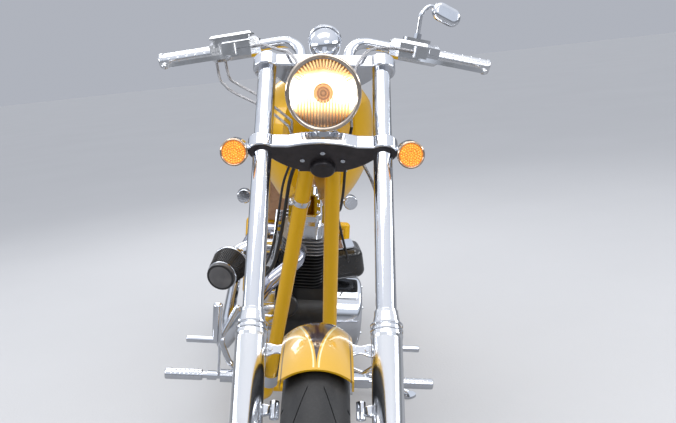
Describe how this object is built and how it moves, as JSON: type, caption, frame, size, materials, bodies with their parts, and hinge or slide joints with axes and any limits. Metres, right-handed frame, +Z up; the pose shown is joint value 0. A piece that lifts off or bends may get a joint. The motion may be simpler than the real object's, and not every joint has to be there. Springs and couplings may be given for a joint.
{
  "type": "chopper motorcycle",
  "caption": "Long custom chopper with a raked fork, yellow frame, tank and fenders, a finned V-twin and chrome fittings, parked leaning on its side stand.",
  "frame": {"origin": "centre of the bounding box's footprint, on the floor", "axes": "+X forward along the machine, +Y to the rider's left, +Z up from the floor"},
  "size_m": [2.8976, 0.9268, 1.2321],
  "materials": {
    "yellow_paint": "gloss",
    "chrome": "polished",
    "cast_aluminium": "satin",
    "black_enamel": "satin",
    "filter_mesh": "matte",
    "belt_rubber": "matte",
    "seat_leather": "satin",
    "red_lens": "gloss",
    "satin_black": "satin",
    "hose_rubber": "satin",
    "tyre_rubber": "matte",
    "brake_steel": "brushed",
    "lamp_glass": "clear",
    "amber_lens": "gloss",
    "cable_braid": "satin"
  },
  "bodies": {
    "chassis": {"frame_backbone": "yellow_paint", "frame_downtubes": "yellow_paint", "frame_rails": "yellow_paint", "swingarm": "yellow_paint", "rear_axle": "chrome", "rear_caliper": "chrome", "crankcase": "cast_aluminium", "cylinders": "black_enamel", "cylinder_heads": "cast_aluminium", "rocker_covers": "chrome", "pushrod_tubes": "chrome", "cam_cover": "chrome", "carburettor": "chrome", "air_filter": "filter_mesh", "primary_cover": "chrome", "gearbox": "chrome", "drive_belt": "belt_rubber", "exhaust_pipes": "chrome", "fuel_tank": "yellow_paint", "tank_cap": "chrome", "seat": "seat_leather", "rear_fender": "yellow_paint", "tail_light": "red_lens", "plate_bracket": "satin_black", "oil_tank": "chrome", "rear_signals": "chrome", "right_foot_control": "chrome", "left_foot_control": "chrome", "coil_cover": "satin_black", "regulator": "satin_black", "oil_filter": "black_enamel", "downtube_hose": "hose_rubber"},
    "steering": {"top_clamp": "chrome", "bottom_clamp": "chrome", "steering_stem": "chrome", "fork_tubes": "chrome", "fork_legs": "chrome", "front_axle": "chrome", "front_fender": "yellow_paint", "fender_brackets": "chrome", "front_caliper": "chrome", "handlebar": "chrome", "grips": "chrome", "right_hand_control": "chrome", "left_hand_control": "chrome", "mirror": "chrome", "headlight_shell": "chrome", "headlight_lens": "lamp_glass", "speedometer": "chrome", "front_signals": "amber_lens", "handlebar_cables": "cable_braid", "brake_hose": "cable_braid"},
    "front_wheel": {"front_tyre": "tyre_rubber", "front_rim": "chrome", "front_disc": "brake_steel"},
    "rear_wheel": {"rear_tyre": "tyre_rubber", "rear_rim": "chrome", "rear_disc": "brake_steel", "rear_pulley": "chrome"},
    "side_stand": {"side_stand": "chrome"}
  },
  "joints": [
    {"name": "steering", "type": "hinge", "parent": "chassis", "child": "steering", "pos_m": [0.47122, 0.03201, 0.98292], "axis": [-0.6563, 0.1349, 0.7423], "range_deg": [-23, 33]},
    {"name": "front_wheel_spin", "type": "hinge", "parent": "steering", "child": "front_wheel", "pos_m": [1.09949, -0.08789, 0.34778], "axis": [0.0658, 0.9904, -0.1218], "continuous": true},
    {"name": "rear_wheel_spin", "type": "hinge", "parent": "chassis", "child": "rear_wheel", "pos_m": [-0.98035, -0.08751, 0.32473], "axis": [0.0001, 0.9839, -0.1788], "continuous": true},
    {"name": "side_stand_fold", "type": "hinge", "parent": "chassis", "child": "side_stand", "pos_m": [-0.28027, 0.03522, 0.1055], "axis": [0.0587, 0.4187, 0.9062], "range_deg": [0, 95]}
  ]
}
